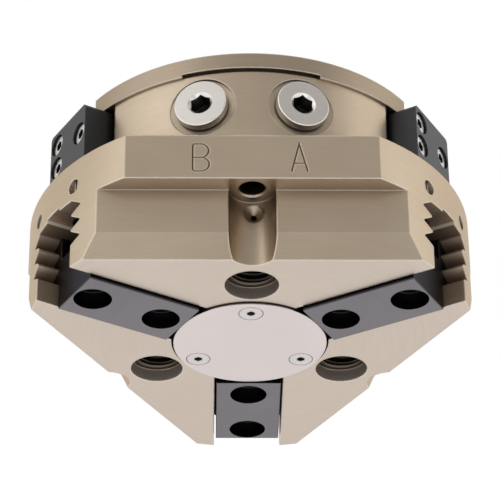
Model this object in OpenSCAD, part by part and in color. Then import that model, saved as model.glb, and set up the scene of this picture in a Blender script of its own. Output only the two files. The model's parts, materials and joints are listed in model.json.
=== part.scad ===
// Pneumatic three jaw centric gripper with wedge hook drive and sawtooth jaw guides.
// The mounting face of the cover lies at z = 0 and the jaws look down, along -Z.
// Heights in the modules below are counted up from the front face, where the jaws are.

/* [Housing] */
// Diameter of the wide front part
body_d = 118.8; // [116:0.2:124]
// Height of the wide front part
front_h = 32.1; // [31:0.1:34]
// Height of the whole housing, without the cover
housing_h = 52.3; // [51:0.1:58]
// Diameter of the neck behind the front part
neck_d = 99.4; // [98.6:0.1:102]
// How far the neck stands back from the flat above the ledge
neck_set_back = 0.1; // [0.05:0.05:0.5]
// Chamfer round the turned and milled outer edges
edge_chamfer = 0.2; // [0.1:0.1:0.6]

/* [Flats and mounting screws] */
// Height of the ledge under which the mounting screws start
ledge_h = 19; // [17:0.1:21]
// Height of the bevel at the foot of each flat
bevel_h = 6.1; // [4:0.1:8]
// Depth of that bevel at the front face
bevel_depth = 3.35; // [2:0.05:5]
// Clearance hole for a mounting screw
mount_hole_d = 6.6; // [6:0.1:7]
// Groove that lets the screw head and the driver in
channel_d = 12.2; // [11:0.1:13]
// Distance from the neck's surface in to the mounting screw
mount_hole_in = 5.2; // [4.8:0.1:6]
// How far the low flat lies inside the screw's axis
low_flat_in = 0.15; // [0:0.05:1.5]

/* [Cover] */
// Diameter of the cover
cover_d = 100.8; // [99.4:0.1:102]
// Thickness of the cover
cover_t = 5.6; // [5:0.1:8]
// Width of the notches that let the sensors in
notch_w = 8.8; // [8.4:0.2:10]
// Height of the prying slot under the cover's front edge
pry_h = 0.9; // [0.6:0.1:1.6]
// Depth of the prying slot
pry_depth = 2; // [1:0.1:3]
// Half of the prying slot's angle
pry_angle = 21; // [15:1:25]
// Distance from the cylinder bore to the circle of the cover screws
cover_screw_out = 7.5; // [7:0.1:8]
// Thread size of the cover screws
cover_screw_d = 4; // [3:0.5:4]
// Depth of their threads in the housing
cover_thread_depth = 9; // [6:0.5:11]
// Diameter of the two dowel holes in the mounting face
dowel_d = 5; // [4:0.5:5]
// Depth of the dowel holes
dowel_depth = 10; // [7:0.5:12]

/* [Jaw guides] */
// Width of the jaw slot below the teeth
slot_w = 18.6; // [18.4:0.1:19.4]
// Width of a jaw where it shows in the front face
jaw_w = 17.6; // [17:0.1:18]
// How far the jaws stand out of the front face
jaw_proud = 1; // [0.5:0.1:1.5]
// Number of teeth on each side of a slot
guide_teeth = 3; // [3:1:3]
// Height of the first tooth groove's lower edge
tooth_start = 6.3; // [6:0.1:6.8]
// Pitch of the teeth
tooth_pitch = 4.65; // [4.4:0.05:4.8]
// Depth of the tooth grooves
tooth_depth = 3.4; // [2.8:0.1:3.8]
// Rise of a groove's lower flank
tooth_rise = 2; // [1.6:0.1:2.4]
// Width of the flats on the tips and crests of the teeth
tooth_flat = 0.5; // [0.3:0.1:0.8]
// Sideways play of a jaw in its teeth
guide_gap = 0.1; // [0.06:0.02:0.2]
// Gap between a jaw's back and the roof of its slot
roof_gap = 0.2; // [0.1:0.1:0.4]
// Width of the relief along the roof
relief_w = 7; // [5:0.5:9]
// Depth of that relief
relief_h = 1; // [0.5:0.1:1.5]

/* [Jaws] */
// Distance from the body's outside in to a closed jaw's outer end
jaw_inset = 6.9; // [6:0.1:8]
// Distance between a jaw's two finger threads
finger_spacing = 20; // [19:0.5:21]
// Diameter of the counterbore for a centring sleeve
sleeve_d = 10; // [9:0.5:10.5]
// Depth of that counterbore
sleeve_depth = 5; // [2:0.5:6]
// Core diameter of a finger thread
finger_thread_d = 5; // [4:0.5:6.8]
// Depth of a finger thread from the jaw's face
finger_thread_depth = 13; // [10:0.5:13]
// Wall between the outer counterbore and the jaw's end
finger_edge = 0.4; // [0.4:0.1:1.5]
// Width of the sensing pocket in a jaw's outer end
pocket_w = 16; // [12:0.5:17]
// Length of the pocket along the jaw
pocket_l = 8.2; // [6:0.2:10]
// Height of the pocket's floor
pocket_floor_h = 13.7; // [13.4:0.1:15]

/* [Wedge hook] */
// Travel of the piston from closed to open
piston_stroke = 8; // [6:0.5:8]
// Jaw travel for each unit of piston travel
wedge_ratio = 0.75; // [0.7:0.01:0.75]
// Distance from the axis to a closed jaw's inner end, at its lower edge
jaw_nose = 6; // [5.8:0.1:6.4]
// Gap between the wedge's faces and the jaws
wedge_gap = 0.1; // [0.06:0.02:0.2]
// Width of the wedge's arms and of the hooks' heads
hook_w = 12.4; // [11:0.2:12.8]
// Width of the hooks' necks
hook_neck_w = 7.2; // [6:0.2:8]
// Length of a hook's neck
hook_neck_l = 2.6; // [2:0.1:3]
// Thickness of a hook's head
hook_head_l = 2.8; // [2:0.1:3]
// Radius of the wedge's hub between the arms
wedge_hub_r = 9.5; // [8:0.1:10]
// Diameter of the rod above the hooks
rod_d = 35; // [33:0.5:35]
// Radial running clearance of the rod and the piston
running_gap = 0.05; // [0.03:0.01:0.08]

/* [Cylinder] */
// Bore of the cylinder
bore_d = 70; // [68:0.5:71]
// Thickness of the piston
piston_t = 14; // [13:0.5:15]
// Gap left above and below the piston at its stops
end_gap = 0.5; // [0.3:0.1:1]
// Chamfer on the piston's edges, where the air enters
piston_chamfer = 2; // [1.5:0.1:2.5]
// Width of the piston seal
piston_seal_w = 4; // [3:0.5:5]
// Depth of the piston seal's groove
piston_seal_depth = 3; // [2:0.1:4]
// Thread size of the bolt through the piston
piston_bolt_d = 8; // [6:1:8]
// Length of that bolt's thread in the rod
piston_bolt_l = 16; // [10:1:20]
// Diameter of the rod's spigot in the piston
spigot_d = 24; // [20:0.5:28]
// Height of the spigot
spigot_h = 2; // [1.5:0.1:2.5]
// Width of the rod seal
rod_seal_w = 3; // [2:0.5:3.5]
// Radial depth of the rod seal's groove
rod_seal_depth = 3; // [2:0.1:4]

/* [Centre cover] */
// Diameter of the disc that closes the middle of the front face
disc_d = 40.7; // [40:0.1:43]
// Thickness of the disc
disc_t = 4.1; // [3.8:0.1:4.3]
// How far the disc stands out of the front face
disc_proud = 0.7; // [0.3:0.1:0.8]
// Gap round the disc
disc_gap = 0.5; // [0.3:0.1:0.7]
// Radius of the circle of its screws
disc_screw_r = 15.85; // [15:0.05:16.3]
// Thread size of its screws
disc_screw_d = 3; // [2.5:0.5:3]
// Length of its screws
disc_screw_l = 8; // [7:0.5:9]
// Width of the ring left open round the heads of its screws
disc_ring_w = 0.15; // [0.1:0.05:0.3]

/* [Front fixing threads] */
// Radius of the circle of the three large threads in the front face
fixing_r = 28.8; // [28.5:0.1:29.5]
// Diameter of their counterbores
fixing_bore_d = 14; // [13:0.5:14.5]
// Depth of their counterbores
fixing_bore_depth = 3.7; // [3:0.1:5]
// Core diameter of their threads
fixing_thread_d = 10.8; // [10:0.1:11]
// Depth of their threads from the front face
fixing_thread_depth = 14; // [12:0.5:16]
// Height of the small oil hole in the front groove
oil_hole_h = 15.5; // [15:0.1:15.9]
// How far the oil hole lies to one side of the groove's middle
oil_hole_out = 0.5; // [0:0.1:1]
// Diameter of the oil hole
oil_hole_d = 1.4; // [1:0.1:2]
// Diameter of the countersink round it
oil_sink_d = 5.2; // [4:0.1:5.6]
// Depth of the oil hole from the groove's floor
oil_hole_l = 3.8; // [3:0.1:4]

/* [Air ports] */
// Angle from the front to each of the two ports
port_angle = 15; // [14:0.5:18]
// Core diameter of the port thread
port_thread_d = 8.6; // [8:0.1:8.8]
// Length of the port thread
port_thread_l = 9; // [8:0.5:9]
// Diameter of the spot face round a port
port_face_d = 17.4; // [15:0.1:17.8]
// Depth of the spot face
port_face_depth = 0.9; // [0.7:0.1:1.2]
// Diameter of a port plug's flange
plug_flange_d = 13.8; // [13:0.1:14.5]
// Thickness of the flange
plug_flange_t = 2.3; // [2:0.1:3.4]
// Thickness of the sealing ring under the flange
port_seal_t = 0.5; // [0.4:0.1:1.5]
// Length of the plug's thread below the flange
plug_thread_l = 7; // [6:0.5:7.5]
// Hexagon socket of the plug, across its flats
plug_socket = 5; // [4:0.5:5]
// Depth of that socket
plug_socket_depth = 5.5; // [3:0.5:6]
// Diameter of the cone that leads into the socket
plug_lead_d = 6.6; // [6:0.1:8]
// Diameter of the drilled air passages
passage_d = 2.4; // [2:0.1:2.6]

/* [Sensor brackets] */
// Width of a bracket
bracket_w = 19.6; // [19.2:0.1:20]
// Gap between a bracket's top and the cover
bracket_top_gap = 0.6; // [0.4:0.1:1.5]
// Distance from the body's outside in to the bracket's face
bracket_inset = 3.5; // [2.4:0.1:4.4]
// Clearance on each side of a bracket in its recess
bracket_gap = 2.1; // [1:0.1:3]
// Wall between the cylinder bore and the bracket's recess
recess_wall = 5.5; // [5:0.1:6]
// Radius of the bracket's rounded corners
bracket_corner_r = 1.2; // [0.4:0.1:2.5]
// Diameter of the sensor's bore
sensor_d = 8; // [6.5:0.5:8]
// Distance from the bracket's face in to the sensor's axis
sensor_in = 6.9; // [6.5:0.1:7.5]
// Distance from the middle of the bracket to its rows of screws
bracket_screw_out = 6.3; // [6.1:0.1:6.5]
// Distance from the bracket's top down to the middle screw
bracket_screw_drop = 7.7; // [7.2:0.1:8.4]
// Distance between the two screws of a pair
bracket_pair = 7.3; // [6.8:0.1:7.6]
// Diameter of the counterbores for the screw heads
bracket_bore_d = 6.2; // [5.8:0.1:6.4]
// Depth of those counterbores
bracket_bore_depth = 3.6; // [3.2:0.1:4.4]

/* [Guide plugs] */
// Thread size of the two plugs above each jaw slot
guide_plug_d = 4; // [3:0.5:4]
// Length of a guide plug
guide_plug_l = 6; // [4:0.5:7]
// Distance from the middle of the slot to a guide plug
guide_plug_out = 9.7; // [9.4:0.1:11]
// Height of the guide plugs
guide_plug_h = 24.3; // [24:0.1:26]
// How deep the plugs sit in their holes
guide_plug_sunk = 0.5; // [0.3:0.1:1]
// Width of the screwdriver slot across a guide plug
guide_plug_slot = 0.7; // [0.5:0.1:1]

/* [Hidden] */
$fn = 96;

// Past every face that a cut goes through
over = 1;
// Play between a fastener and its hole
fastener_gap = 0.05;
// Where the three jaws and the three mounting screws lie round the axis
jaw_angles = [90, 210, 330];
side_angles = [270, 30, 150];
port_a_angle = side_angles[0] + port_angle;
port_b_angle = side_angles[0] - port_angle;
cover_screw_angles = [for (a = jaw_angles, side = [-30, 30]) a + side];
dowel_angles = [48, 132];

total_h = housing_h + cover_t;
body_r = body_d / 2;
neck_r = neck_d / 2;
bore_r = bore_d / 2;
rod_r = rod_d / 2;
high_flat = neck_r + neck_set_back;
mount_hole_r = neck_r - mount_hole_in;
low_flat = mount_hole_r - low_flat_in;
foot_flat = low_flat - bevel_depth;
cover_screw_r = bore_r + cover_screw_out;

roof_h = tooth_start + guide_teeth * tooth_pitch;
jaw_back_h = roof_h - roof_gap;
jaw_end = body_r - jaw_inset;
finger_far = jaw_end - finger_edge - sleeve_d / 2;
finger_near = finger_far - finger_spacing;

// The jaws and the hooks pass over the disc with this gap
disc_back_h = disc_t - disc_proud;
pass_gap = 0.6;
lip_h = disc_back_h + pass_gap;
wedge_angle = atan(wedge_ratio);
// Distance, square to the wedge's slope, of a closed jaw's sloping face from the origin
jaw_slope = jaw_nose * cos(wedge_angle) - lip_h * sin(wedge_angle);
wedge_slope = jaw_slope - wedge_gap;
hook_foot_h = lip_h + piston_stroke;
hook_top_h = roof_h - 0.3;
web_top_h = hook_top_h - piston_stroke - 0.35;

floor_h = housing_h - piston_t - piston_stroke - 2 * end_gap;
piston_foot_h = housing_h - end_gap - piston_t;
piston_r = bore_r - running_gap;
guide_bore_h = roof_h + relief_h + 1;
rod_seal_h = (guide_bore_h + floor_h - rod_seal_w) / 2;
spigot_seal_in = spigot_d / 2 + 1.5;
spigot_seal_out = spigot_seal_in + 2;
spigot_seal_h = 1;

port_h = (front_h + housing_h) / 2;
port_face_r = neck_r - port_face_depth;
passage_r = bore_r + 6;
upper_passage_h = housing_h - 3;
lower_passage_h = floor_h + 1.4;

bracket_h = housing_h - front_h - bracket_top_gap;
bracket_screw_h = bracket_h - bracket_screw_drop;
recess_floor = bore_r + recess_wall;
recess_w = bracket_w + 2 * bracket_gap;
bracket_face = body_r - bracket_inset;
sensor_r = bracket_face - sensor_in;
bracket_screw_d = 3;
bracket_thread_depth = 3.6;
bracket_head_h = bracket_screw_d;
bracket_head_gap = 0.3;
groove_floor_r = mount_hole_r - channel_d / 2;
oil_sink_l = (oil_sink_d - oil_hole_d) / 2;
hole_chamfer = 0.4;
cover_seal_in = bore_r + 1.4;
cover_seal_w = 2.6;
cover_seal_h = 1.6;

// Corner of a screw head or socket across its flats
function across(flats) = flats / cos(30);

// One side of the guide from the foot to the roof, as [half width, height] points
function guide_side(shrink) = [
    for (i = [0 : guide_teeth - 1]) let (
        foot = tooth_start + i * tooth_pitch,
        crest = slot_w / 2 - shrink,
        tip = crest + tooth_depth
    ) each [
        [crest, foot + tooth_flat / 2],
        [tip, foot + tooth_rise - tooth_flat / 2],
        [tip, foot + tooth_rise + tooth_flat / 2],
        [crest, foot + tooth_pitch - tooth_flat / 2]
    ]
];
function mirrored(points) = [for (i = [len(points) - 1 : -1 : 0]) [-points[i][0], points[i][1]]];
function both_sides(points) = concat(points, mirrored(points));

module from_front() translate([0, 0, -total_h]) children();
module at_angle(a) rotate([0, 0, a]) children();
module each_angle(angles) for (a = angles) at_angle(a) children();
// A profile of [across, up] points, extruded outward from the axis
module outward(from, to) translate([from, 0, 0]) rotate([90, 0, 90]) linear_extrude(to - from) children();
// A bar along the wedge's slope, between two distances square to it
module slope_bar(from, to, w) {
    reach = total_h;
    rotate([0, wedge_angle, 0]) translate([from, -w / 2, -reach]) cube([to - from, w, 2 * reach]);
}
module between_heights(low, high) intersection() {
    children();
    translate([0, 0, low]) cylinder(r = body_d, h = high - low);
}
module radial_hole(from, to, d, across_pos, h) {
    translate([from, across_pos, h]) rotate([0, 90, 0]) cylinder(d = d, h = to - from);
}
module tube_ring(inner_r, outer_r, h) difference() {
    cylinder(r = outer_r, h = h);
    translate([0, 0, -over]) cylinder(r = inner_r, h = h + 2 * over);
}

// A socket head screw that points down, with the underside of its head at the origin
module socket_screw(d, head_d, head_h, l, socket) difference() {
    union() {
        cylinder(d = head_d, h = head_h);
        translate([0, 0, -l]) cylinder(d = d, h = l + over);
    }
    translate([0, 0, head_h / 2]) cylinder(d = across(socket), h = head_h, $fn = 6);
}
// A countersunk screw that points down, with the top of its head at the origin
module countersunk_screw(d, head_d, l, socket) difference() {
    rotate_extrude() polygon(countersunk_profile(d, head_d, l));
    translate([0, 0, -d / 2]) cylinder(d = across(socket), h = d, $fn = 6);
}
function countersunk_profile(d, head_d, l) = [
    [0, 0], [head_d / 2, 0], [head_d / 2, -rim_h], [d / 2, -rim_h - (head_d - d) / 2], [d / 2, -l], [0, -l]
];
rim_h = 0.3;
// The hole for such a screw, open at its top and with its own play
module countersunk_hole(d, head_d, l) {
    rotate_extrude() polygon(countersunk_profile(d + 2 * fastener_gap, head_d + 2 * fastener_gap, l));
    cylinder(d = head_d + 2 * fastener_gap, h = over);
}
// A hole up +Z from the origin, with its lower edge broken by a chamfer
module chamfered_hole(d, h, chamfer) {
    cylinder(d = d, h = h);
    translate([0, 0, -chamfer]) cylinder(r1 = d / 2 + 2 * chamfer, r2 = d / 2, h = 2 * chamfer);
}

// ---- Housing ----
module front_blank() rotate_extrude($fn = 180) polygon([
    [0, 0], [body_r - edge_chamfer, 0], [body_r, edge_chamfer],
    [body_r, front_h - edge_chamfer], [body_r - edge_chamfer, front_h], [0, front_h]
]);
module flat_cut() {
    slope = bevel_depth / bevel_h;
    outside = body_r + over;
    rotate([90, 0, 0]) linear_extrude(body_d, center = true) polygon([
        [foot_flat - slope * over, -over], [low_flat, bevel_h], [low_flat, ledge_h], [high_flat, ledge_h],
        [high_flat, front_h + over], [outside, front_h + over], [outside, -over]
    ]);
}
module neck_blank() difference() {
    translate([0, 0, front_h - over]) cylinder(r = neck_r, h = housing_h - front_h + over, $fn = 180);
    each_angle(jaw_angles) translate([recess_floor, -recess_w / 2, front_h - 2 * over])
        cube([neck_r, recess_w, housing_h]);
}
module guide_cut() outward(0, body_r + over) {
    corner = slot_w / 2;
    polygon(both_sides(concat([[corner, -over]], guide_side(0), [
        [corner, roof_h], [relief_w / 2, roof_h], [relief_w / 2, roof_h + relief_h]
    ])));
}
module mount_cut() {
    translate([mount_hole_r, 0, -over]) cylinder(d = channel_d, h = ledge_h + over);
    translate([mount_hole_r, 0, ledge_h]) chamfered_hole(mount_hole_d, total_h, hole_chamfer);
}
module fixing_cut() translate([fixing_r, 0, 0]) {
    translate([0, 0, -over]) cylinder(d = fixing_bore_d, h = fixing_bore_depth + over);
    translate([0, 0, fixing_bore_depth])
        chamfered_hole(fixing_thread_d, fixing_thread_depth - fixing_bore_depth, hole_chamfer);
}
module oil_cut() {
    sink_r = groove_floor_r - oil_sink_l;
    radial_hole(groove_floor_r - oil_hole_l, groove_floor_r, oil_hole_d, oil_hole_out, oil_hole_h);
    radial_hole(groove_floor_r, mount_hole_r, oil_sink_d, oil_hole_out, oil_hole_h);
    translate([sink_r, oil_hole_out, oil_hole_h]) rotate([0, 90, 0])
        cylinder(d1 = oil_hole_d, d2 = oil_sink_d, h = oil_sink_l);
}
module port_cut(passage_h) {
    inner = port_face_r - port_thread_l;
    radial_hole(port_face_r, neck_r + over, port_face_d, 0, port_h);
    radial_hole(inner, neck_r, port_thread_d, 0, port_h);
    translate([passage_r, 0, min(port_h, passage_h)]) cylinder(d = passage_d, h = abs(port_h - passage_h));
    radial_hole(bore_r - over, passage_r, passage_d, 0, passage_h);
}
module rod_room() {
    translate([0, 0, web_top_h]) cylinder(r = rod_r + disc_gap, h = guide_bore_h - web_top_h);
    translate([0, 0, web_top_h]) cylinder(r = rod_r + running_gap, h = floor_h);
    translate([0, 0, rod_seal_h]) cylinder(r = rod_r + rod_seal_depth, h = rod_seal_w);
}
module bracket_threads() {
    for (place = bracket_screw_places)
        radial_hole(recess_floor - bracket_thread_depth, recess_floor + over,
            bracket_screw_d + 2 * fastener_gap, place[0], front_h + place[1]);
}
bracket_screw_places = [
    [bracket_screw_out, bracket_screw_h],
    [-bracket_screw_out, bracket_screw_h - bracket_pair / 2],
    [-bracket_screw_out, bracket_screw_h + bracket_pair / 2]
];
guide_plug_r = sqrt(pow(body_r, 2) - pow(guide_plug_out + guide_plug_d / 2, 2)) - guide_plug_sunk;
module guide_plug_holes() {
    for (side = [-1, 1])
        radial_hole(guide_plug_r - guide_plug_l - over, body_r + over, guide_plug_d + 2 * fastener_gap,
            side * guide_plug_out, guide_plug_h);
}
module housing() color([0.80, 0.75, 0.67]) from_front() difference() {
    union() {
        difference() {
            front_blank();
            each_angle(side_angles) flat_cut();
        }
        neck_blank();
    }
    each_angle(jaw_angles) {
        guide_cut();
        bracket_threads();
        guide_plug_holes();
        translate([sensor_r, 0, roof_h]) cylinder(d = sensor_d + 2 * fastener_gap, h = front_h);
    }
    each_angle(side_angles) {
        mount_cut();
        fixing_cut();
        translate([disc_screw_r, 0, 0])
            cylinder(d = disc_screw_d + 2 * fastener_gap, h = disc_screw_l + over);
    }
    at_angle(port_a_angle) port_cut(upper_passage_h);
    at_angle(port_b_angle) port_cut(lower_passage_h);
    at_angle(side_angles[0]) oil_cut();
    translate([0, 0, -over]) cylinder(r = disc_d / 2 + disc_gap, h = disc_back_h + over);
    rod_room();
    translate([0, 0, floor_h]) cylinder(r = bore_r, h = housing_h);
    translate([0, 0, housing_h - cover_seal_h])
        tube_ring(cover_seal_in, cover_seal_in + cover_seal_w, cover_seal_h + over);
    each_angle(cover_screw_angles) translate([cover_screw_r, 0, housing_h - cover_thread_depth])
        cylinder(d = cover_screw_d + 2 * fastener_gap, h = cover_thread_depth + over);
    each_angle(dowel_angles) translate([cover_screw_r, 0, total_h - dowel_depth])
        cylinder(d = dowel_d, h = dowel_depth);
}

// ---- Cover, its seal and its screws ----
cover_screw_head_d = 2 * cover_screw_d;
cover_screw_l = 12;
module cover() color([0.72, 0.67, 0.59]) from_front() difference() {
    cover_r = cover_d / 2;
    translate([0, 0, housing_h]) rotate_extrude($fn = 180) polygon([
        [0, 0], [cover_r, 0], [cover_r, cover_t - edge_chamfer],
        [cover_r - edge_chamfer, cover_t], [0, cover_t]
    ]);
    each_angle(jaw_angles) translate([0, 0, housing_h - over]) {
        translate([sensor_r, 0, 0]) cylinder(d = notch_w, h = cover_t + 2 * over);
        translate([sensor_r, -notch_w / 2, 0]) cube([cover_r, notch_w, cover_t + 2 * over]);
    }
    each_angle(side_angles) translate([mount_hole_r, 0, housing_h - over])
        cylinder(d = mount_hole_d, h = cover_t + 2 * over);
    each_angle(cover_screw_angles) translate([cover_screw_r, 0, total_h])
        countersunk_hole(cover_screw_d, cover_screw_head_d, cover_screw_l);
    each_angle(dowel_angles) translate([cover_screw_r, 0, housing_h - over])
        cylinder(d = dowel_d, h = cover_t + 2 * over);
    translate([0, 0, housing_h - over]) at_angle(side_angles[0] - pry_angle)
        rotate_extrude(angle = 2 * pry_angle)
            translate([cover_r - pry_depth, 0]) square([pry_depth + over, pry_h + over]);
}
module cover_seal() color([0.10, 0.10, 0.10]) from_front() translate([0, 0, housing_h - cover_seal_h])
    tube_ring(cover_seal_in + fastener_gap, cover_seal_in + cover_seal_w - fastener_gap, cover_seal_h);
module cover_screws() color([0.75, 0.74, 0.72]) from_front()
    each_angle(cover_screw_angles) translate([cover_screw_r, 0, total_h])
        countersunk_screw(cover_screw_d, cover_screw_head_d, cover_screw_l, cover_screw_d * 5 / 8);

// ---- Piston, wedge hook and their seals ----
piston_head_d = 1.625 * piston_bolt_d;
piston_head_recess = piston_bolt_d + 0.5;
piston_seal_h = piston_foot_h + (piston_t - piston_seal_w) / 2;
module piston() color([0.66, 0.67, 0.68]) from_front() difference() {
    translate([0, 0, piston_foot_h]) rotate_extrude($fn = 180) polygon([
        [0, 0], [piston_r - piston_chamfer, 0], [piston_r, piston_chamfer],
        [piston_r, piston_t - piston_chamfer], [piston_r - piston_chamfer, piston_t], [0, piston_t]
    ]);
    translate([0, 0, piston_seal_h])
        tube_ring(piston_r - piston_seal_depth, piston_r + over, piston_seal_w);
    translate([0, 0, piston_foot_h - over]) cylinder(d = spigot_d + 2 * fastener_gap, h = spigot_h + over);
    translate([0, 0, piston_foot_h]) cylinder(d = piston_bolt_d + 2 * fastener_gap, h = piston_t);
    translate([0, 0, piston_foot_h + piston_t - piston_head_recess])
        cylinder(d = piston_head_d + 1, h = piston_head_recess + over);
}
module piston_seal() color([0.12, 0.12, 0.12]) from_front()
    translate([0, 0, piston_seal_h + fastener_gap])
        tube_ring(piston_r - piston_seal_depth + fastener_gap, bore_r - running_gap / 2,
            piston_seal_w - 2 * fastener_gap);
module piston_bolt() color([0.55, 0.55, 0.56]) from_front() {
    seat_h = piston_foot_h + piston_t - piston_head_recess;
    translate([0, 0, seat_h]) socket_screw(piston_bolt_d, piston_head_d, piston_bolt_d,
        piston_t - piston_head_recess + piston_bolt_l, 0.75 * piston_bolt_d);
}
module hook_arm() {
    head = wedge_slope + hook_neck_l;
    slope_bar(-total_h, wedge_slope, hook_w);
    slope_bar(wedge_slope - over, head + over, hook_neck_w);
    slope_bar(head, head + hook_head_l, hook_w);
}
module wedge_hook() color([0.50, 0.50, 0.52]) from_front() difference() {
    union() {
        translate([0, 0, hook_foot_h]) cylinder(r = wedge_hub_r, h = hook_top_h - hook_foot_h);
        each_angle(jaw_angles) between_heights(hook_foot_h, hook_top_h) intersection() {
            hook_arm();
            translate([0, -hook_w, 0]) cube([body_r, 2 * hook_w, total_h]);
        }
        translate([0, 0, hook_top_h]) cylinder(r = rod_r, h = piston_foot_h - hook_top_h);
        translate([0, 0, piston_foot_h - over]) cylinder(d = spigot_d, h = spigot_h + over);
    }
    translate([0, 0, piston_foot_h - piston_bolt_l - over])
        cylinder(d = piston_bolt_d + 2 * fastener_gap, h = piston_bolt_l + spigot_h + 2 * over);
    translate([0, 0, piston_foot_h - spigot_seal_h])
        tube_ring(spigot_seal_in, spigot_seal_out, spigot_seal_h + over);
}
module spigot_seal() color([0.12, 0.12, 0.12]) from_front() translate([0, 0, piston_foot_h - spigot_seal_h])
    tube_ring(spigot_seal_in + fastener_gap, spigot_seal_out - fastener_gap, spigot_seal_h);
module rod_seal() color([0.12, 0.12, 0.12]) from_front() translate([0, 0, rod_seal_h + fastener_gap])
    tube_ring(rod_r + running_gap / 2, rod_r + rod_seal_depth - fastener_gap, rod_seal_w - 2 * fastener_gap);

// ---- Base jaws ----
module jaw_blank() outward(0, jaw_end) {
    jaw_half = jaw_w / 2;
    // The first tooth's lower flank is carried down to the jaw's side
    flank_slope = (tooth_rise - tooth_flat) / tooth_depth;
    step_h = tooth_start + tooth_flat / 2 - flank_slope * (slot_w / 2 - guide_gap - jaw_half);
    teeth = guide_side(guide_gap);
    polygon(both_sides(concat(
        [[jaw_half - edge_chamfer, -jaw_proud], [jaw_half, edge_chamfer - jaw_proud], [jaw_half, step_h]],
        [for (i = [1 : len(teeth) - 1]) teeth[i]],
        [[slot_w / 2 - guide_gap, jaw_back_h]]
    )));
}
module finger_thread(distance) translate([distance, 0, -jaw_proud - over]) {
    cylinder(d = sleeve_d, h = sleeve_depth + over);
    cylinder(d = finger_thread_d, h = finger_thread_depth + over);
}
module jaw(a) color([0.42, 0.41, 0.43]) from_front() at_angle(a) difference() {
    jaw_blank();
    // Room for the disc
    translate([-over, -body_r, -jaw_proud - over])
        cube([disc_d / 2 + 0.3 + over, body_d, jaw_proud + over + lip_h]);
    // Sloping inner face and the slot for the hook
    slope_bar(-total_h, jaw_slope, body_d);
    slope_bar(jaw_slope - over, jaw_slope + hook_neck_l, hook_neck_w + 2 * wedge_gap);
    slope_bar(jaw_slope + hook_neck_l - 2 * wedge_gap, jaw_slope + hook_neck_l + hook_head_l,
        hook_w + 2 * wedge_gap);
    finger_thread(finger_near);
    finger_thread(finger_far);
    translate([jaw_end - pocket_l, -pocket_w / 2, pocket_floor_h]) cube([pocket_l + over, pocket_w, total_h]);
    // Chamfer along the outer end's front edge
    translate([jaw_end, 0, -jaw_proud]) rotate([0, 45, 0])
        cube([edge_chamfer * sqrt(2), body_d, edge_chamfer * sqrt(2)], center = true);
}
module jaw_1() jaw(jaw_angles[0]);
module jaw_2() jaw(jaw_angles[1]);
module jaw_3() jaw(jaw_angles[2]);

// ---- Centre cover ----
disc_head_d = 2 * disc_screw_d + 0.2;
module centre_cover() color([0.85, 0.82, 0.80]) from_front() difference() {
    translate([0, 0, -disc_proud]) rotate_extrude() polygon([
        [0, 0], [disc_d / 2 - edge_chamfer, 0], [disc_d / 2, edge_chamfer], [disc_d / 2, disc_t], [0, disc_t]
    ]);
    each_angle(side_angles) translate([disc_screw_r, 0, -disc_proud]) mirror([0, 0, 1]) {
        countersunk_hole(disc_screw_d, disc_head_d, disc_screw_l);
        translate([0, 0, -rim_h]) cylinder(d = disc_head_d + 2 * disc_ring_w, h = rim_h + over);
    }
}
module centre_cover_screws() color([0.78, 0.76, 0.74]) from_front()
    each_angle(side_angles) translate([disc_screw_r, 0, -disc_proud]) mirror([0, 0, 1])
        countersunk_screw(disc_screw_d, disc_head_d, disc_screw_l, disc_screw_d * 2 / 3);

// ---- Port plugs ----
module port_plug(a) {
    lead_h = (plug_lead_d - plug_socket) / 2;
    flange_r = plug_flange_d / 2;
    thread_r = port_thread_d / 2 - fastener_gap;
    color([0.80, 0.79, 0.77]) from_front() at_angle(a)
        translate([port_face_r + port_seal_t, 0, port_h]) rotate([0, 90, 0]) difference() {
            rotate_extrude() polygon([
                [0, -plug_thread_l], [thread_r, -plug_thread_l], [thread_r, 0], [flange_r, 0],
                [flange_r, plug_flange_t - edge_chamfer], [flange_r - edge_chamfer, plug_flange_t],
                [0, plug_flange_t]
            ]);
            translate([0, 0, plug_flange_t - plug_socket_depth])
                cylinder(d = across(plug_socket), h = plug_socket_depth + over, $fn = 6);
            translate([0, 0, plug_flange_t - lead_h])
                cylinder(d1 = plug_socket, d2 = plug_lead_d + 2 * over, h = lead_h + over);
        }
}
module port_plug_a() port_plug(port_a_angle);
module port_plug_b() port_plug(port_b_angle);
module port_seal(a) color([0.35, 0.33, 0.30]) from_front() at_angle(a)
    translate([port_face_r, 0, port_h]) rotate([0, 90, 0])
        tube_ring(port_thread_d / 2 + 3 * fastener_gap, plug_flange_d / 2 - 3 * fastener_gap, port_seal_t);
module port_seal_a() port_seal(port_a_angle);
module port_seal_b() port_seal(port_b_angle);

// ---- Sensor brackets ----
module bracket_outline() {
    straight = bracket_w / 2 - bracket_corner_r;
    translate([-bracket_w / 2, 0]) square([bracket_w, bracket_h - bracket_corner_r]);
    translate([-straight, 0]) square([2 * straight, bracket_h]);
    for (side = [-1, 1]) translate([side * straight, bracket_h - bracket_corner_r])
        circle(r = bracket_corner_r);
}
module bracket(a) color([0.13, 0.13, 0.13]) from_front() at_angle(a) translate([0, 0, front_h]) difference() {
    outward(recess_floor, bracket_face) bracket_outline();
    translate([sensor_r, 0, -over]) cylinder(d = sensor_d + 2 * fastener_gap, h = bracket_h + 2 * over);
    for (place = bracket_screw_places) {
        radial_hole(recess_floor - over, bracket_face, bracket_screw_d + 2 * fastener_gap,
            place[0], place[1]);
        radial_hole(bracket_face - bracket_bore_depth, bracket_face + over, bracket_bore_d,
            place[0], place[1]);
    }
}
module bracket_1() bracket(jaw_angles[0]);
module bracket_2() bracket(jaw_angles[1]);
module bracket_3() bracket(jaw_angles[2]);
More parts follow.
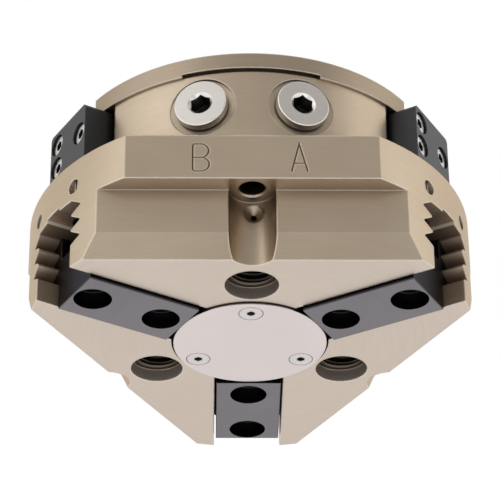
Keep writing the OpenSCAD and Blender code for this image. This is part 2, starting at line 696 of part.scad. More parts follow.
module bracket_screws(a) color([0.85, 0.84, 0.82]) from_front() at_angle(a) {
    seat = bracket_face - bracket_bore_depth;
    head_d = bracket_bore_d - 2 * bracket_head_gap;
    thread_end = recess_floor - bracket_thread_depth + bracket_head_gap;
    for (place = bracket_screw_places)
        translate([seat, place[0], front_h + place[1]]) rotate([0, 90, 0])
            socket_screw(bracket_screw_d, head_d, bracket_head_h, seat - thread_end, 2.5);
}
module bracket_screws_1() bracket_screws(jaw_angles[0]);
module bracket_screws_2() bracket_screws(jaw_angles[1]);
module bracket_screws_3() bracket_screws(jaw_angles[2]);

// ---- Plugs above the jaw slots ----
guide_plug_slot_depth = 1;
module guide_plugs(a) color([0.62, 0.58, 0.52]) from_front() at_angle(a) for (side = [-1, 1])
    difference() {
        radial_hole(guide_plug_r - guide_plug_l, guide_plug_r, guide_plug_d,
            side * guide_plug_out, guide_plug_h);
        translate([guide_plug_r - guide_plug_slot_depth, side * guide_plug_out - guide_plug_slot / 2, 0])
            cube([guide_plug_l, guide_plug_slot, total_h]);
    }
module guide_plugs_1() guide_plugs(jaw_angles[0]);
module guide_plugs_2() guide_plugs(jaw_angles[1]);
module guide_plugs_3() guide_plugs(jaw_angles[2]);

housing();
cover();
cover_seal();
cover_screws();
piston();
piston_seal();
piston_bolt();
spigot_seal();
wedge_hook();
rod_seal();
jaw_1();
jaw_2();
jaw_3();
centre_cover();
centre_cover_screws();
port_plug_a();
port_plug_b();
port_seal_a();
port_seal_b();
bracket_1();
bracket_2();
bracket_3();
bracket_screws_1();
bracket_screws_2();
bracket_screws_3();
guide_plugs_1();
guide_plugs_2();
guide_plugs_3();
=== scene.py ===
import bmesh
import bpy
import json
import numpy as np
from mathutils import Matrix, Vector


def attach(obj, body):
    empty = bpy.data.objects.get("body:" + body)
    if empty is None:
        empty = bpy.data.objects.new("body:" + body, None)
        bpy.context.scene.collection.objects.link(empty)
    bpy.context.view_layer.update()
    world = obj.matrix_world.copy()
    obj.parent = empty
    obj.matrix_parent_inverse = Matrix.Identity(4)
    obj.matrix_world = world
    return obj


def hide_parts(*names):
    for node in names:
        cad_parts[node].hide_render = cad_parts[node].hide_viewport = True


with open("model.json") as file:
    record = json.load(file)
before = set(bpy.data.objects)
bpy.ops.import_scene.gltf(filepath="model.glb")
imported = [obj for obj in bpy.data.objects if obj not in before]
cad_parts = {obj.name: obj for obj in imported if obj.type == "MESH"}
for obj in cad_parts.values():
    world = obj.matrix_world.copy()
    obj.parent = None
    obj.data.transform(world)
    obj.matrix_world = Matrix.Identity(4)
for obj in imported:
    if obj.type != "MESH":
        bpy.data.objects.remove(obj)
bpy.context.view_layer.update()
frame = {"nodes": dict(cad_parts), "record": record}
nodes = frame["nodes"]
mm = 0.001  # the drawing's sizes are in millimetres
print("frame loaded:", len(nodes), "nodes")


def addNode(tree, kind, wires=None, **settings):
    # A shader node; each of its inputs is wired to a socket or set to a value
    node = tree.nodes.new("ShaderNode" + kind)
    for key, value in settings.items():
        setattr(node, key, value)
    for key, value in (wires or {}).items():
        if isinstance(value, bpy.types.NodeSocket):
            tree.links.new(value, node.inputs[key])
        else:
            node.inputs[key].default_value = value
    return node


def mathNode(tree, operation, a, b=0.0):
    return addNode(tree, "Math", {0: a, 1: b}, operation=operation).outputs[0]


def rangeNode(tree, value, low, high, toLow, toHigh):
    wires = {"Value": value, "From Min": low, "From Max": high, "To Min": toLow, "To Max": toHigh}
    return addNode(tree, "MapRange", wires).outputs["Result"]


def mixColour(tree, factor, a, b):
    # The colour mixer's inputs for colours share their names with others, so they go by number
    return addNode(tree, "Mix", {0: factor, 6: a, 7: b}, data_type="RGBA").outputs[2]


def noiseNode(tree, vector, scale, detail=3.0, rough=0.5):
    wires = {"Vector": vector, "Scale": scale, "Detail": detail, "Roughness": rough}
    return addNode(tree, "TexNoise", wires).outputs["Fac"]


def opaque(colour):
    return (*colour, 1.0)


# Settings for tone, worn edges, painted edge highlights and painted shade in hollows
wearAndPaintedLight = {
    "noiseLow": 0.3, "noiseHigh": 0.7,  # most of a noise lies between these
    "edgeFrom": 0.995, "edgeFull": 0.80,  # cosine of the turn inside the edge width
    "openFrom": 0.5, "openFull": 0.9, "cornerKeeps": 0.15,  # how open an edge lies before its painted highlight shows
    "darkest": 0.04,  # the painted shade leaves every hollow at least this share of its colour
    "edgeGloss": 0.12,  # how much smoother a worn edge is
    "frontFrom": -0.6, "frontFull": -0.95,  # how squarely a surface faces down, to count as the front
}


def spread(tree, noise, low, high):
    # Most of a noise's values, stretched over low to high
    return rangeNode(tree, noise, wearAndPaintedLight["noiseLow"], wearAndPaintedLight["noiseHigh"], low, high)


def cutMarks(tree, s):
    # Fine lines left by the cutter: level rings on upright faces, and on flat faces arcs round the axis.
    # The third coordinate is height plus distance from the axis times how level the face is.
    place = addNode(tree, "TexCoord").outputs["Object"]
    facing = addNode(tree, "NewGeometry").outputs["Normal"]
    split = addNode(tree, "SeparateXYZ", {0: place}).outputs
    level = mathNode(tree, "ABSOLUTE", addNode(tree, "SeparateXYZ", {0: facing}).outputs["Z"])
    flat = addNode(tree, "CombineXYZ", {"X": split["X"], "Y": split["Y"]}).outputs[0]
    out = addNode(tree, "VectorMath", {0: flat}, operation="LENGTH").outputs["Value"]
    across = mathNode(tree, "ADD", split["Z"], mathNode(tree, "MULTIPLY", out, level))
    wires = {
        "X": mathNode(tree, "DIVIDE", split["X"], s["lineLength"]),
        "Y": mathNode(tree, "DIVIDE", split["Y"], s["lineLength"]),
        "Z": mathNode(tree, "DIVIDE", across, s["linePitch"]),
    }
    stretched = addNode(tree, "CombineXYZ", wires).outputs[0]
    return place, noiseNode(tree, stretched, scale=1.0, detail=4.0, rough=0.6)


def metalFinish(name, s):
    material = bpy.data.materials.new(name)
    material.use_nodes = True
    tree = material.node_tree
    tree.nodes.clear()
    place, lines = cutMarks(tree, s)
    clouds = noiseNode(tree, place, s["cloudScale"])
    grain = noiseNode(tree, place, s["grainScale"], detail=2.0)

    # Painted highlight on edges: where the surface turns within the edge width, the colour moves towards the
    # edge colour, and the surface is smoother
    rounded = addNode(tree, "Bevel", {"Radius": s["edgeWidth"]}, samples=6).outputs[0]
    facing = addNode(tree, "NewGeometry").outputs["Normal"]
    same = addNode(tree, "VectorMath", {0: rounded, 1: facing}, operation="DOT_PRODUCT").outputs["Value"]
    edge = rangeNode(tree, same, wearAndPaintedLight["edgeFrom"], wearAndPaintedLight["edgeFull"], 0.0, s["edgeShine"])

    # The painted highlight is mostly left off inner corners
    openness = addNode(tree, "AmbientOcclusion", {"Distance": s["hollowReach"]}, samples=8).outputs["AO"]
    kept = rangeNode(tree, openness, wearAndPaintedLight["openFrom"], wearAndPaintedLight["openFull"], wearAndPaintedLight["cornerKeeps"], 1.0)
    edge = mathNode(tree, "MULTIPLY", edge, kept)

    # Painted shade in hollows: the more closed in a point is, the darker its colour
    shut = mathNode(tree, "SUBTRACT", 1.0, openness)
    dark = mathNode(tree, "MULTIPLY", mathNode(tree, "MULTIPLY", shut, shut), s["hollowShade"])
    hollow = mathNode(tree, "MAXIMUM", mathNode(tree, "SUBTRACT", 1.0, dark), wearAndPaintedLight["darkest"])

    tone = spread(tree, clouds, 1.0 - s["cloudDepth"], 1.0 + s["cloudDepth"])
    streak = spread(tree, lines, 1.0 - s["lineDepth"], 1.0 + s["lineDepth"])
    shade = mathNode(tree, "MULTIPLY", mathNode(tree, "MULTIPLY", tone, streak), hollow)
    patch = spread(tree, clouds, 0.0, 1.0)
    base = mixColour(tree, patch, opaque(s["colour"]), opaque(s["colourToo"]))
    if "faceColour" in s:  # where a surface faces down, as the front face does, it gets a colour of its own
        level = addNode(tree, "SeparateXYZ", {0: facing}).outputs["Z"]
        front = rangeNode(tree, level, wearAndPaintedLight["frontFrom"], wearAndPaintedLight["frontFull"], 0.0, 1.0)
        base = mixColour(tree, front, base, opaque(s["faceColour"]))
    base = addNode(tree, "VectorMath", {0: base, "Scale": shade}, operation="SCALE").outputs[0]
    base = mixColour(tree, edge, base, opaque(s["paintedEdgeColour"]))

    rough = spread(tree, grain, s["rough"] - s["roughSpread"], s["rough"] + s["roughSpread"])
    rough = mathNode(tree, "SUBTRACT", rough, mathNode(tree, "MULTIPLY", edge, wearAndPaintedLight["edgeGloss"]))
    relief = mathNode(tree, "ADD", mathNode(tree, "MULTIPLY", lines, s["lineRelief"]),
                      mathNode(tree, "MULTIPLY", grain, s["grainRelief"]))
    wires = {"Height": relief, "Distance": mm, "Strength": 1.0, "Normal": rounded}
    bump = addNode(tree, "Bump", wires)
    wires = {"Base Color": base, "Roughness": rough, "Metallic": s["metal"], "IOR": 1.5,
             "Specular Tint": opaque(s["rimTint"]), "Normal": bump.outputs[0]}
    shader = addNode(tree, "BsdfPrincipled", wires)
    addNode(tree, "OutputMaterial", {"Surface": shader.outputs[0]})
    return material


# In a finish, widths and lengths are in metres, and a scale is how many clouds or grains lie in a metre
housingFinish = {
    "colour": (0.665, 0.545, 0.410), "colourToo": (0.690, 0.575, 0.440), "metal": 1.0,
    "faceColour": (0.690, 0.600, 0.510),
    "rough": 0.38, "roughSpread": 0.04,
    "lineLength": 0.012, "linePitch": 0.00045, "lineDepth": 0.035, "lineRelief": 0.012,
    "cloudScale": 38.0, "cloudDepth": 0.02, "grainScale": 3800.0, "grainRelief": 0.006,
    "edgeWidth": 0.0006, "edgeShine": 0.85, "paintedEdgeColour": (0.95, 0.88, 0.78),
    "hollowReach": 0.012, "hollowShade": 1.15, "rimTint": (0.72, 0.66, 0.58),
}
# The cover is the housing's hard coat, turned; its darker colour is painted shade
coverFinishAndShade = dict(housingFinish, colour=(0.50, 0.41, 0.31), colourToo=(0.525, 0.435, 0.33),
                   rough=0.44, linePitch=0.0006, lineDepth=0.05, hollowShade=0.62, rimTint=(0.55, 0.5, 0.44))
jawFinish = {
    "colour": (0.072, 0.071, 0.080), "colourToo": (0.082, 0.081, 0.090), "metal": 1.0,
    "faceColour": (0.245, 0.231, 0.239),
    "rough": 0.34, "roughSpread": 0.04,
    "lineLength": 0.02, "linePitch": 0.0004, "lineDepth": 0.04, "lineRelief": 0.008,
    "cloudScale": 60.0, "cloudDepth": 0.04, "grainScale": 4200.0, "grainRelief": 0.004,
    "edgeWidth": 0.00025, "edgeShine": 0.5, "paintedEdgeColour": (0.42, 0.41, 0.43),
    "hollowReach": 0.010, "hollowShade": 0.95, "rimTint": (0.5, 0.5, 0.5),
}
discFinish = {
    "colour": (0.765, 0.690, 0.655), "colourToo": (0.785, 0.710, 0.675), "metal": 1.0,
    "rough": 0.36, "roughSpread": 0.03,
    "lineLength": 0.03, "linePitch": 0.0003, "lineDepth": 0.012, "lineRelief": 0.004,
    "cloudScale": 45.0, "cloudDepth": 0.012, "grainScale": 4500.0, "grainRelief": 0.003,
    "edgeWidth": 0.0002, "edgeShine": 0.5, "paintedEdgeColour": (0.88, 0.86, 0.85),
    "hollowReach": 0.004, "hollowShade": 0.9, "rimTint": (0.8, 0.8, 0.8),
}
# The disc screws' edge colour is dark: a painted shade ring round each head
discScrewFinish = dict(discFinish, colour=(0.70, 0.66, 0.63), colourToo=(0.74, 0.70, 0.67), rough=0.30,
                       edgeWidth=0.00035, edgeShine=1.0, paintedEdgeColour=(0.33, 0.31, 0.30))
# The strong hollow shade paints the hex sockets dark: painted shade
plugFinish = dict(discFinish, colour=(0.92, 0.88, 0.83), colourToo=(0.94, 0.90, 0.85), rough=0.30,
                  lineLength=0.004, linePitch=0.00025, lineDepth=0.03, paintedEdgeColour=(0.92, 0.90, 0.88),
                  hollowReach=0.008, hollowShade=1.25)
bracketScrewFinish = dict(plugFinish, colour=(0.82, 0.80, 0.77), colourToo=(0.85, 0.83, 0.80), rough=0.26)
platedFinish = dict(plugFinish, colour=(0.74, 0.67, 0.57), colourToo=(0.78, 0.71, 0.61), rough=0.34,
                    hollowShade=0.7)
darkScrewFinish = dict(jawFinish, colour=(0.05, 0.05, 0.055), colourToo=(0.07, 0.07, 0.075), metal=0.9,
                       faceColour=(0.05, 0.05, 0.055))
hardSteelFinish = dict(discFinish, colour=(0.42, 0.42, 0.43), colourToo=(0.46, 0.46, 0.47), rough=0.25)
pistonFinish = dict(discFinish, colour=(0.58, 0.59, 0.60), colourToo=(0.62, 0.63, 0.64), rough=0.32)
bracketFinish = {
    "colour": (0.006, 0.006, 0.008), "colourToo": (0.010, 0.010, 0.012), "metal": 0.0,
    "rough": 0.36, "roughSpread": 0.05,
    "lineLength": 0.01, "linePitch": 0.0004, "lineDepth": 0.06, "lineRelief": 0.006,
    "cloudScale": 70.0, "cloudDepth": 0.06, "grainScale": 4000.0, "grainRelief": 0.008,
    "edgeWidth": 0.0003, "edgeShine": 0.35, "paintedEdgeColour": (0.16, 0.155, 0.155),
    "hollowReach": 0.012, "hollowShade": 0.9, "rimTint": (1.0, 1.0, 1.0),
}
rubberFinish = dict(bracketFinish, colour=(0.016, 0.016, 0.016), colourToo=(0.022, 0.022, 0.022),
                    rough=0.62, paintedEdgeColour=(0.04, 0.04, 0.04))
portSealFinish = dict(rubberFinish, colour=(0.12, 0.10, 0.085), colourToo=(0.15, 0.125, 0.105),
                      paintedEdgeColour=(0.20, 0.17, 0.15))

finishes = {
    "housing": metalFinish("champagneHardCoat", housingFinish),
    "cover": metalFinish("turnedHardCoatPaintedShade", coverFinishAndShade),
    "jaws": metalFinish("nitridedSteel", jawFinish),
    "centre_cover": metalFinish("fineGroundDisc", discFinish),
    "disc_screws": metalFinish("discScrewSteel", discScrewFinish),
    "port_plugs": metalFinish("nickelPlate", plugFinish),
    "port_seals": metalFinish("portSealRubber", portSealFinish),
    "brackets": metalFinish("blackAnodised", bracketFinish),
    "bracket_screws": metalFinish("brightScrewSteel", bracketScrewFinish),
    "plated_screws": metalFinish("platedScrewSteel", platedFinish),
    "dark_screws": metalFinish("blackenedSteel", darkScrewFinish),
    "hard_steel": metalFinish("groundHardSteel", hardSteelFinish),
    "piston": metalFinish("turnedAluminium", pistonFinish),
    "rubber": metalFinish("sealRubber", rubberFinish),
}
print("finishes made:", len(finishes))

slotOfNode = {part["node"]: part["material_slot"] for part in frame["record"]["subparts"]}
for nodeName, piece in nodes.items():
    for slot in piece.material_slots:
        slot.material = finishes[slotOfNode[nodeName]]
print("nodes dressed")


def tubeFaces(rings, around):
    # Quads between neighbouring rings of a tube, and one face over each end
    ring, spot = np.meshgrid(np.arange(rings - 1), np.arange(around), indexing="ij")
    here, beside = ring * around + spot, ring * around + (spot + 1) % around
    quads = np.stack([here, beside, beside + around, here + around], -1).reshape(-1, 4).tolist()
    return quads + [list(range(around))[::-1], list(range((rings - 1) * around, rings * around))]


def cutterFrom(name, points, faces, finish):
    mesh = bpy.data.meshes.new(name)
    mesh.from_pydata((np.asarray(points) * mm).tolist(), [], faces)
    mesh.materials.append(finish)  # what it cuts gets this finish
    work = bmesh.new()
    work.from_mesh(mesh)
    bmesh.ops.recalc_face_normals(work, faces=work.faces)
    work.to_mesh(mesh)
    work.free()
    cutter = bpy.data.objects.new(name, mesh)
    bpy.context.scene.collection.objects.link(cutter)
    return cutter


def grooveCutter(name, path, s, finish):
    # A wedge carried along a path on the flat: at each point the section is a triangle whose foot is as
    # deep as the groove, and whose two upper corners stand clear of the face, square to the path.
    path = np.asarray(path, float)
    step = np.diff(path, axis=0)
    step /= np.linalg.norm(step, axis=1, keepdims=True)
    before, after = np.vstack([step[:1], step]), np.vstack([step, step[-1:]])
    along = before + after
    along /= np.linalg.norm(along, axis=1, keepdims=True)
    reach = s["width"] / 2 * (1 + s["lift"] / s["depth"]) / np.sum(along * after, axis=1, keepdims=True)
    side = np.stack([-along[:, 1], along[:, 0]], -1) * reach
    points = np.zeros((len(path), 3, 3))
    for corner, (across, depth) in enumerate(((-1, -s["lift"]), (1, -s["lift"]), (0, s["depth"]))):
        points[:, corner, 0::2] = path + across * side
        points[:, corner, 1] = depth - s["face"]
    return cutterFrom(name, points.reshape(-1, 3), tubeFaces(len(path), 3), finish)


markSet = {
    "face": 49.8,  # distance of the upper flat from the axis
    "width": 0.50, "depth": 0.30, "lift": 0.15,  # of the groove; the lift is how far the cutter stands proud
    "B": (-15.15, -10.95, -36.75, -32.6, -28.45),  # left, right, foot, middle, top
    "corner": 0.6, "cornerCut": 0.3,  # size of the B's corners, and where one more point lies
    "bendFrom": 0.52, "waist": 0.5,  # shares of its width where the bowls begin to bend and the waist ends
    "bendPoints": 17, "upperShorter": 0.15,
    "A": (9.9, 11.95, 14.05, -36.95, -34.3, -28.4),  # left foot, tip, right foot, foot, bar, top
}


def bowl(left, right, low, high, s):
    # From the foot of the stem up, round the corner, along, and down by half an ellipse
    turn = np.linspace(0, np.pi, s["bendPoints"])
    middle, half = (low + high) / 2, (high - low) / 2
    bend = left + s["bendFrom"] * (right - left)
    arc = np.stack([bend + (right - bend) * np.sin(turn), middle + half * np.cos(turn)], -1)
    corner, cut = s["corner"], s["cornerCut"]
    drop = np.sign(half) * corner
    stem = [[left, low], [left, high - drop], [left + cut * corner, high - cut * drop], [left + corner, high]]
    return np.vstack([stem, arc])


def markCutters(s, finish):
    left, right, foot, middle, top = s["B"]
    leftFoot, tip, rightFoot, low, bar, high = s["A"]
    rise = (bar - low) / (high - low)
    paths = {
        "upperBowl": bowl(left, right - s["upperShorter"], middle, top, s),
        "lowerBowl": bowl(left, right, middle, foot, s),
        "waist": [[left, middle], [left + s["waist"] * (right - left), middle]],
        "legs": [[leftFoot, low], [tip, high], [rightFoot, low]],
        "bar": [[leftFoot + rise * (tip - leftFoot), bar], [rightFoot + rise * (tip - rightFoot), bar]],
    }
    return [grooveCutter(name, path, s, finish) for name, path in paths.items()]


fixingRadius, fingerRadii = 28.8, (27.1, 47.1)  # of the holes' centres, from the axis
jawAngles, sideAngles = (90, 210, 330), (270, 30, 150)
screwForm = {
    "around": 48,  # points in a turn
    "turn": 0.03,  # radians to the first point, which keeps them clear of the hole wall's corners
    "flank": 30.0,  # degrees
    "flatShare": 8,  # the flat at the groove's foot is this part of a pitch
}
fixingThread = dict(screwForm, inner=5.2, root=6.0, pitch=1.75, low=-54.9, high=-45.4)
fingerThread = dict(screwForm, inner=2.35, root=3.0, pitch=1.0, low=-54.4, high=-46.6)


def onCircle(radius, degrees):
    return radius * np.cos(np.radians(degrees)), radius * np.sin(np.radians(degrees))


def threadCutter(name, centre, s, finish):
    # A screw form: its section repeats once a pitch and climbs one pitch a turn. The radius is the inner one
    # except at the groove, whose flanks lean. A fan of triangles round the axis closes each end.
    around, pitch = s["around"], s["pitch"]
    lean = (s["root"] - s["inner"]) * np.tan(np.radians(s["flank"]))
    flat = pitch / s["flatShare"]
    rise = np.array([0, pitch - 2 * lean - flat, pitch - lean - flat, pitch - lean])
    radius = np.array([s["inner"], s["inner"], s["root"], s["root"]])
    corners, turns = len(rise), int((s["high"] - s["low"]) / pitch) - 1
    steps = turns * around
    step, corner = np.meshgrid(np.arange(steps + around + 1), np.arange(corners), indexing="ij")
    angle = 2 * np.pi * step / around + s["turn"]
    points = np.stack([centre[0] + radius[corner] * np.cos(angle), centre[1] + radius[corner] * np.sin(angle),
                       s["low"] + pitch * step / around + rise[corner]], -1).reshape(-1, 3)
    ends = [[*centre, s["low"]], [*centre, s["low"] + pitch * (turns + 1)]]
    points = np.vstack([points, ends])

    # Above each corner of the section is the next one, and above the last is the first, one turn on
    step, corner = step[:steps], corner[:steps]
    under = step * corners + corner
    over = np.where(corner < corners - 1, under + 1, (step + around) * corners)
    quads = np.stack([under, under + corners, over + corners, over], -1).reshape(-1, 4)
    foot = np.append(np.arange(around + 1) * corners, np.arange(corners)[:0:-1])
    head = foot + steps * corners
    footCentre, headCentre = np.full_like(foot, len(points) - 2), np.full_like(foot, len(points) - 1)
    fans = np.vstack([np.stack([foot, np.roll(foot, -1), footCentre], -1),
                      np.stack([np.roll(head, -1), head, headCentre], -1)])
    used, renumbered = np.unique(np.append(quads, fans), return_inverse=True)
    quads = renumbered[:quads.size].reshape(-1, 4).tolist()
    fans = renumbered[-fans.size:].reshape(-1, 3).tolist()
    return cutterFrom(name, points[used], quads + fans, finish)


# Heights are measured from the mounting face, so they go down to -57.9 at the front face
slotZone = {"start": 20.0, "halfWidth": 13.0, "turned": 0.3, "level": 1.1, "low": -57.8, "high": -36.5}
reliefZone = dict(slotZone, level=0.2, low=-37.6)  # the low walls of the relief in the slot's roof
threadZone = {"radius": 7.3, "low": -54.3, "high": -40.0}
counterboreZone = dict(threadZone, low=-57.6, high=-54.3)


def inJawSlots(middle, normal, s):
    # Faces near a jaw's line that are turned across it, and that lie no more level than asked
    chosen = np.zeros(len(middle), bool)
    for degrees in jawAngles:
        along = np.array([*onCircle(1.0, degrees), 0.0])
        across = np.array([-along[1], along[0], 0.0])
        near = (middle @ along > s["start"]) & (np.abs(middle @ across) < s["halfWidth"])
        chosen |= near & (np.abs(normal @ along) < s["turned"]) & (np.abs(normal[:, 2]) < s["level"])
    return chosen & (middle[:, 2] > s["low"]) & (middle[:, 2] < s["high"])


def inFixingHoles(middle, normal, s):
    # Faces within the zone's radius of a fixing hole's axis, and between its two heights
    chosen = np.zeros(len(middle), bool)
    for degrees in sideAngles:
        chosen |= np.linalg.norm(middle[:, :2] - onCircle(fixingRadius, degrees), axis=1) < s["radius"]
    return chosen & (middle[:, 2] > s["low"]) & (middle[:, 2] < s["high"])


def dressFaces(mesh, finish, rule, s):
    # The faces whose middles and normals the rule picks out get a material of their own, which here paints
    # light or shade onto them
    middle, normal = np.empty((2, len(mesh.polygons), 3))
    mesh.polygons.foreach_get("center", middle.ravel())
    mesh.polygons.foreach_get("normal", normal.ravel())
    slots = np.zeros(len(mesh.polygons), np.int32)
    mesh.polygons.foreach_get("material_index", slots)
    slots[rule(middle / mm, normal, s)] = len(mesh.materials)
    mesh.materials.append(finish)
    mesh.polygons.foreach_set("material_index", slots)


copySet = {"mergeWithin": 1e-7, "sharpDegrees": 22}  # metres, and the turn from which an edge stays sharp


def workedCopy(nodeName, bodyName, cutters, patches=()):
    # The drawing's solid, its doubled points merged, with the cutters taken out of it
    mesh = nodes[nodeName].data.copy()
    if "custom_normal" in mesh.attributes:
        mesh.attributes.remove(mesh.attributes["custom_normal"])
    work = bmesh.new()
    work.from_mesh(mesh)
    bmesh.ops.remove_doubles(work, verts=work.verts, dist=copySet["mergeWithin"])
    work.to_mesh(mesh)
    work.free()
    mesh.materials.clear()
    mesh.materials.append(finishes[slotOfNode[nodeName]])
    for finish, rule, zone in patches:
        dressFaces(mesh, finish, rule, zone)
    piece = bpy.data.objects.new(nodeName + "_worked", mesh)
    bpy.context.scene.collection.objects.link(piece)
    for cutter in cutters:
        cut = piece.modifiers.new(cutter.name, "BOOLEAN")
        cut.operation, cut.solver, cut.object = "DIFFERENCE", "EXACT", cutter
        cut.material_mode = "TRANSFER"
    shape = piece.evaluated_get(bpy.context.evaluated_depsgraph_get())
    finished = bpy.data.meshes.new_from_object(shape)
    piece.modifiers.clear()
    piece.data = finished
    for cutter in cutters:
        bpy.data.objects.remove(cutter)
    finished.shade_smooth()
    finished.set_sharp_from_angle(angle=np.radians(copySet["sharpDegrees"]))
    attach(piece, bodyName)
    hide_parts(nodeName)


# What is cut into the housing doesn't take the front's colour
sideFinish = {key: value for key, value in housingFinish.items() if key != "faceColour"}
# Painted shade: the engraved letters' grooves are dark
engravedPaintedShade = dict(sideFinish, colour=(0.36, 0.295, 0.215), colourToo=(0.40, 0.325, 0.24), rough=0.5,
                      edgeWidth=0.0001, edgeShine=0.0, hollowShade=0.62)
# Painted shade: the threads and shoulders deep in the fixing holes are near black
threadPaintedShade = dict(engravedPaintedShade, colour=(0.14, 0.118, 0.094), colourToo=(0.17, 0.145, 0.118), rough=0.45,
                    hollowShade=0.80)
# Painted light: the jaw slots get a browner, partly matt copy of the housing's colour, so that they look lit
# from the side
slotPaintedLight = dict(sideFinish, colour=(0.66, 0.50, 0.36), colourToo=(0.72, 0.56, 0.42), metal=0.86,
                  rough=0.42, hollowShade=0.80, cloudDepth=0.15, edgeShine=0.9)
# Painted light: the relief walls get a pale, almost matt colour, so that they look lit
reliefPaintedLight = dict(slotPaintedLight, colour=(0.82, 0.75, 0.65), colourToo=(0.86, 0.79, 0.69), metal=0.1,
                    hollowShade=0.1)
# Painted light: the counterbore walls get a lighter, less shaded copy
counterborePaintedLight = dict(slotPaintedLight, colour=(0.56, 0.47, 0.40), colourToo=(0.60, 0.51, 0.44), metal=0.7,
                         hollowShade=0.45)

housingCuts = markCutters(markSet, metalFinish("engravedLine", engravedPaintedShade))
# The thread cutters leave painted shade on the faces they cut
threadInHousing = metalFinish("cutThread", threadPaintedShade)
for angle in sideAngles:
    housingCuts.append(threadCutter("fixing", onCircle(fixingRadius, angle), fixingThread, threadInHousing))
# Painted light in the jaw slots, on the relief walls and in the counterbores, and painted shade in the fixing
# holes
workedCopy("housing", "body", housingCuts, (
    (metalFinish("milledSlotPaintedLight", slotPaintedLight), inJawSlots, slotZone),
    (metalFinish("reliefWall", reliefPaintedLight), inJawSlots, reliefZone),
    (metalFinish("counterbore", counterborePaintedLight), inFixingHoles, counterboreZone),
    (threadInHousing, inFixingHoles, threadZone),
))
for number, angle in enumerate(jawAngles, 1):
    jawCuts = [threadCutter("finger", onCircle(radius, angle), fingerThread, finishes["jaws"])
               for radius in fingerRadii]
    workedCopy(f"jaw_{number}", f"jaw_{number}_body", jawCuts)
print("marks and threads cut")


def aimed(place, aim):
    # At the place, looking at the aim, with its upper side up
    turn = (Vector(aim) - Vector(place)).to_track_quat("-Z", "Y").to_matrix().to_4x4()
    return Matrix.Translation(Vector(place)) @ turn


cameraSet = {
    "place": (-11.96, -570.51, -388.78),  # below and in front, looking up at the jaws
    "aim": (0.24, 0.0, -29.00),
    "lens": 178.88,
    "roll": -0.0093,  # radians
}


def addCamera(s):
    data = bpy.data.cameras.new("camera")
    data.lens = s["lens"]
    data.sensor_width = 36
    data.clip_start = 0.01
    camera = bpy.data.objects.new("camera", data)
    view = aimed(Vector(s["place"]) * mm, Vector(s["aim"]) * mm)
    camera.matrix_world = view @ Matrix.Rotation(s["roll"], 4, "Z")
    bpy.context.scene.collection.objects.link(camera)
    bpy.context.scene.camera = camera


lampSet = {
    # name: place, aim, width and height in metres, watts
    "leftSoft": ((-0.95, -0.55, 0.25), (0, 0, -0.03), (0.7, 0.9), 0.4),
    "rightSoft": ((0.95, -0.35, 0.30), (0, 0, -0.03), (0.6, 0.9), 0.35),
    "underFront": ((0.10, -0.75, -0.75), (0, 0, -0.04), (0.6, 0.5), 0.3),
}


def addLamps(s):
    for name, (place, aim, size, watts) in s.items():
        data = bpy.data.lights.new(name, "AREA")
        data.shape = "RECTANGLE"
        data.size, data.size_y = size
        data.energy = watts
        lamp = bpy.data.objects.new(name, data)
        lamp.matrix_world = aimed(place, aim)
        bpy.context.scene.collection.objects.link(lamp)


cardSet = {
    # name: place, aim, width and height in metres, tint, grey at the left and right ends
    "frontAbove": ((0.34, -1.00, 0.55), (0, 0, -0.02), (2.2, 1.3), (1.0, 0.98, 0.95), 0.53, 0.30),
    "frontBelow": ((0.0, -0.82, -0.40), (0, 0, -0.03), (0.9, 0.42), (1.0, 0.97, 0.94), 0.84, 0.0),
    "leftAbove": ((-0.92, 0.15, 0.62), (0, 0, -0.03), (1.0, 1.0), (1.0, 0.99, 0.97), 0.80, 0.80),
    "rightAbove": ((0.92, 0.0, 0.62), (0, 0, -0.03), (1.0, 0.7), (1.0, 0.98, 0.96), 0.92, 0.92),
}


def plainPiece(name, finishName, corners):
    # A flat four-cornered piece of the studio, with an empty material of its own
    mesh = bpy.data.meshes.new(name)
    mesh.from_pydata(corners, [], [(0, 1, 2, 3)])
    material = bpy.data.materials.new(finishName)
    material.use_nodes = True
    material.node_tree.nodes.clear()
    mesh.materials.append(material)
    piece = bpy.data.objects.new(name, mesh)
    bpy.context.scene.collection.objects.link(piece)
    return piece, material.node_tree


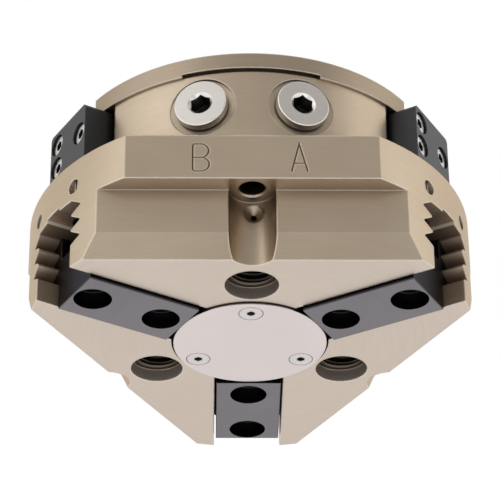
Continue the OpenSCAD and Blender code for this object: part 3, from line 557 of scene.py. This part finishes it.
def addCards(s):
    # Grey cards that only the shine of the metal shows: they shade the front without dimming the light
    for name, (place, aim, size, tint, left, right) in s.items():
        half = np.array(size) / 2
        corners = np.array([[-1, -1, 0], [1, -1, 0], [1, 1, 0], [-1, 1, 0]]) * np.array([*half, 0])
        turn = np.array(aimed(place, aim))
        card, tree = plainPiece(name, name, (corners @ turn[:3, :3].T + turn[:3, 3]).tolist())
        split = addNode(tree, "SeparateXYZ", {0: addNode(tree, "TexCoord").outputs["Object"]}).outputs
        grey = rangeNode(tree, split["X"], place[0] - half[0], place[0] + half[0], left, right)
        glow = addNode(tree, "Emission", {"Color": opaque(tint), "Strength": grey})
        addNode(tree, "OutputMaterial", {"Surface": glow.outputs[0]})
        card.visible_camera = card.visible_diffuse = card.visible_shadow = False


floorSet = {
    "height": -1.0, "half": 6.0,  # metres
    "colour": (0.86, 0.88, 0.92), "rough": 0.8, "shine": (1.0, 1.0, 1.03),
}


def addFloor(s):
    # A level plane well under the part, so that the studio can be seen from below as well
    half, height = s["half"], s["height"]
    corners = [(-half, -half, height), (half, -half, height), (half, half, height), (-half, half, height)]
    tree = plainPiece("studioFloor", "paleFloor", corners)[1]
    cloth = addNode(tree, "BsdfPrincipled", {"Base Color": opaque(s["colour"]), "Roughness": s["rough"]})
    glow = addNode(tree, "Emission", {"Color": opaque(s["shine"]), "Strength": 1.0})
    path = addNode(tree, "LightPath").outputs  # the metal shows the floor lit, whatever the lamps do
    mix = addNode(tree, "MixShader", {0: path["Is Glossy Ray"], 1: cloth.outputs[0], 2: glow.outputs[0]})
    addNode(tree, "OutputMaterial", {"Surface": mix.outputs[0]})


worldSet = {"light": (1.0, 0.99, 0.97), "strength": 0.75, "shown": (1.0, 1.0, 1.0)}


def addWorld(s):
    # A soft warm light all round; the camera, the metal and glass see plain white instead
    world = bpy.data.worlds.new("studio")
    bpy.context.scene.world = world
    world.use_nodes = True
    tree = world.node_tree
    tree.nodes.clear()
    path = addNode(tree, "LightPath").outputs
    shown = mathNode(tree, "MAXIMUM", path["Is Camera Ray"], path["Is Glossy Ray"])
    shown = mathNode(tree, "MAXIMUM", shown, path["Is Transmission Ray"])
    light = addNode(tree, "Background", {"Color": opaque(s["light"]), "Strength": s["strength"]})
    white = addNode(tree, "Background", {"Color": opaque(s["shown"]), "Strength": 1.0})
    mix = addNode(tree, "MixShader", {0: shown, 1: light.outputs[0], 2: white.outputs[0]})
    addNode(tree, "OutputWorld", {"Surface": mix.outputs[0]})


bpy.context.scene.view_settings.view_transform = "Standard"
addCamera(cameraSet)
addLamps(lampSet)
addCards(cardSet)
addFloor(floorSet)
addWorld(worldSet)
print("studio ready")
